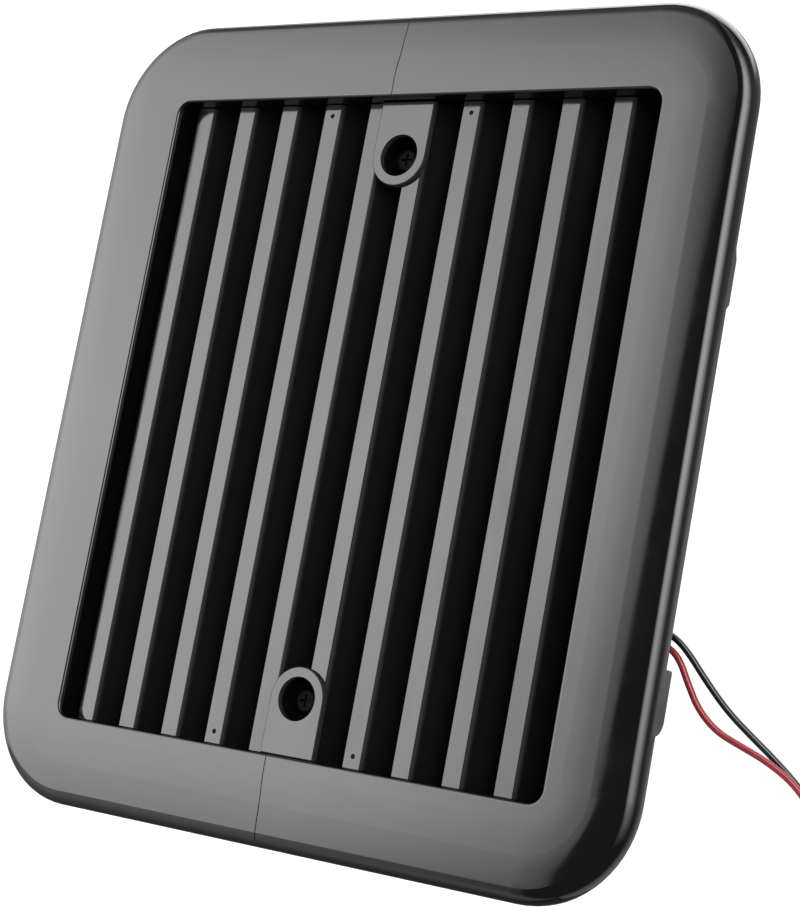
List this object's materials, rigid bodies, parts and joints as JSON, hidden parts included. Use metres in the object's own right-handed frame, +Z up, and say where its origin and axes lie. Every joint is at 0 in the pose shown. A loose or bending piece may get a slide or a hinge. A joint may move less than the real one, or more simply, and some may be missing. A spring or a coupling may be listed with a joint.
{
  "type": "louvred vent with exhaust fan",
  "caption": "Black louvred wall vent with a 12 V axial exhaust fan behind the slats, a gasketed frame for a wall cut-out, and a red and a black supply lead.",
  "frame": {"origin": "middle of the wall screw pattern, on the rear face of the foam gasket, which is the plane of the wall", "axes": "the face looks along -Y, +Y goes into the wall along the fan's axis, and +Z is up"},
  "size_m": [0.2578, 0.0461, 0.2574],
  "materials": {
    "face_abs": "satin black ABS, injection moulded",
    "louvre_abs": "satin black ABS with fine flow lines",
    "frame_abs": "fine matt black ABS",
    "gasket_foam": "closed-cell foam, matt",
    "zinc_steel": "zinc plated",
    "black_steel": "black oxide",
    "fan_pbt": "black glass-filled PBT",
    "silver_foil": "plain silver foil label, no print",
    "label_film": "plain grey film, no print",
    "yoke_steel": "deep drawn and plated",
    "ferrite": "bonded ferrite",
    "shaft_steel": "ground",
    "bronze": "sintered bronze",
    "nylon": "natural nylon",
    "lamination": "stacked electrical steel",
    "copper": "enamelled copper wire",
    "board": "solder-masked glass epoxy",
    "epoxy": "moulded epoxy",
    "can_aluminium": "drawn can",
    "solder": "bright solder",
    "grommet_rubber": "soft moulded rubber",
    "black_pvc": "glossy PVC insulation",
    "red_pvc": "glossy PVC insulation",
    "tinned_copper": "stripped, twisted and tinned strands"
  },
  "bodies": {
    "vent": {"front_bezel": "face_abs", "louvre_panel": "louvre_abs", "rear_frame": "frame_abs", "flange_gasket": "gasket_foam", "panel_screws": "black_steel", "fan_housing": "fan_pbt", "fan_bolts": "zinc_steel", "fan_washers": "zinc_steel", "fan_nuts": "zinc_steel", "sleeve_bearing": "bronze", "oil_seal": "nylon", "base_label": "label_film", "stator_core": "lamination", "front_insulator": "nylon", "rear_insulator": "nylon", "stator_windings": "copper", "driver_board": "board", "driver_chip": "epoxy", "smoothing_capacitor": "can_aluminium", "solder_joints": "solder", "lead_grommet": "grommet_rubber", "lead_black_inner": "black_pvc", "lead_red_inner": "red_pvc", "lead_black": "black_pvc", "lead_red": "red_pvc", "lead_black_end": "tinned_copper", "lead_red_end": "tinned_copper"},
    "rotor": {"impeller": "fan_pbt", "hub_foil": "silver_foil", "rotor_yoke": "yoke_steel", "magnet_ring": "ferrite", "rotor_shaft": "shaft_steel", "shaft_clip": "nylon", "thrust_washer": "nylon"}
  },
  "joints": [
    {"name": "fan_spin", "type": "hinge", "parent": "vent", "child": "rotor", "pos_m": [0, 0.019, 0], "axis": [0, 1, 0], "continuous": true}
  ]
}
